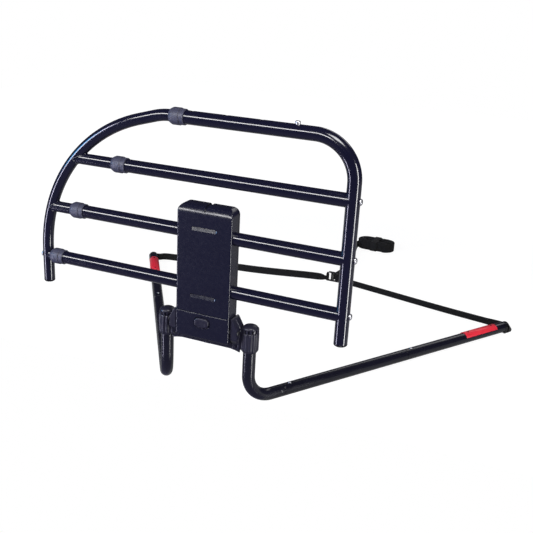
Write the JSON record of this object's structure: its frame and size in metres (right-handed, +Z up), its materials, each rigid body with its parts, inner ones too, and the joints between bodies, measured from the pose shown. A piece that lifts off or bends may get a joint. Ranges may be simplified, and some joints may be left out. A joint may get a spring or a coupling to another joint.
{
  "type": "bed assist rail",
  "caption": "Telescoping bedside handrail with crossbars and a curved end, folding down on a two-legged base held to the bed by a strap.",
  "frame": {"origin": "middle of the bounding box in X and Y, on the floor plane that the legs stand on", "axes": "+X along the rail to the side with the upright corner, +Y from the rail towards the bed along the legs, +Z up"},
  "size_m": [1.033, 1.1478, 0.5726],
  "materials": {
    "paint": "gloss",
    "leg_paint": "satin",
    "steel": "zinc plated",
    "collar": "fine moulded texture",
    "housing": "satin",
    "yoke": "satin",
    "plastic": "gloss",
    "nylon": "natural",
    "webbing": "woven",
    "elastic": "woven elastic",
    "label": "printed film, no lettering"
  },
  "bodies": {
    "base": {"leg_elbow_left": "leg_paint", "leg_elbow_right": "leg_paint", "leg_middle_tube_left": "leg_paint", "leg_middle_tube_right": "leg_paint", "leg_end_tube_left": "leg_paint", "leg_end_tube_right": "leg_paint", "pivot_pin_left": "steel", "pivot_pin_right": "steel", "leg_snap_near_left": "steel", "leg_snap_near_right": "steel", "leg_snap_far_left": "steel", "leg_snap_far_right": "steel", "base_yoke": "yoke", "leg_dome_cap_left": "yoke", "leg_dome_cap_right": "yoke", "leg_end_cap_left": "plastic", "leg_end_cap_right": "plastic", "strap_buckle": "plastic", "strap_left": "webbing", "strap_right": "webbing", "strap_tail": "webbing", "strap_hank": "webbing", "strap_keeper": "elastic", "leg_label_left": "label", "leg_label_right": "label"},
    "rail": {"outer_frame_tube": "paint", "outer_crossbar_upper": "paint", "outer_crossbar_middle": "paint", "outer_crossbar_lower": "paint", "collar_top": "collar", "collar_upper": "collar", "collar_middle": "collar", "collar_lower": "collar", "tube_plug_right": "plastic", "crossbar_bolt_upper": "steel", "crossbar_bolt_middle": "steel", "crossbar_bolt_lower": "steel", "crossbar_insert_upper": "steel", "crossbar_insert_middle": "steel", "crossbar_insert_lower": "steel", "housing_front_cover": "housing", "housing_rear_cover": "housing", "housing_lower_cover": "housing", "cover_screw_1": "steel", "cover_screw_2": "steel", "spine_bracket": "steel", "pivot_bush_left": "nylon", "pivot_bush_right": "nylon", "latch_leaf": "steel"},
    "sliding_rail": {"inner_frame_tube": "paint", "inner_crossbar_upper": "paint", "inner_crossbar_middle": "paint", "inner_crossbar_lower": "paint", "inner_bolt_lower": "steel", "inner_insert_lower": "steel", "tube_plug_left": "plastic", "snap_spring": "steel"},
    "button": {"release_button": "plastic"},
    "snap": {"snap_button": "steel"}
  },
  "joints": [
    {"name": "rail_fold", "type": "hinge", "parent": "base", "child": "rail", "pos_m": [0, -0.56235, 0.16], "axis": [1, 0, 0], "range_deg": [0, 180]},
    {"name": "rail_extend", "type": "slide", "parent": "rail", "child": "sliding_rail", "axis": [-1, 0, 0], "range_m": [0, 0.203], "deforming": ["snap_button"]},
    {"name": "release_button_press", "type": "slide", "parent": "rail", "child": "button", "axis": [0, 1, 0], "range_m": [0, 0.003], "stiffness_N_per_m": 700, "springref_m": -0.002, "deforming": ["latch_leaf"]},
    {"name": "snap_button_press", "type": "slide", "parent": "sliding_rail", "child": "snap", "axis": [0, 0, -1], "range_m": [0, 0.0075], "stiffness_N_per_m": 700, "springref_m": -0.002, "deforming": ["snap_spring"]}
  ]
}
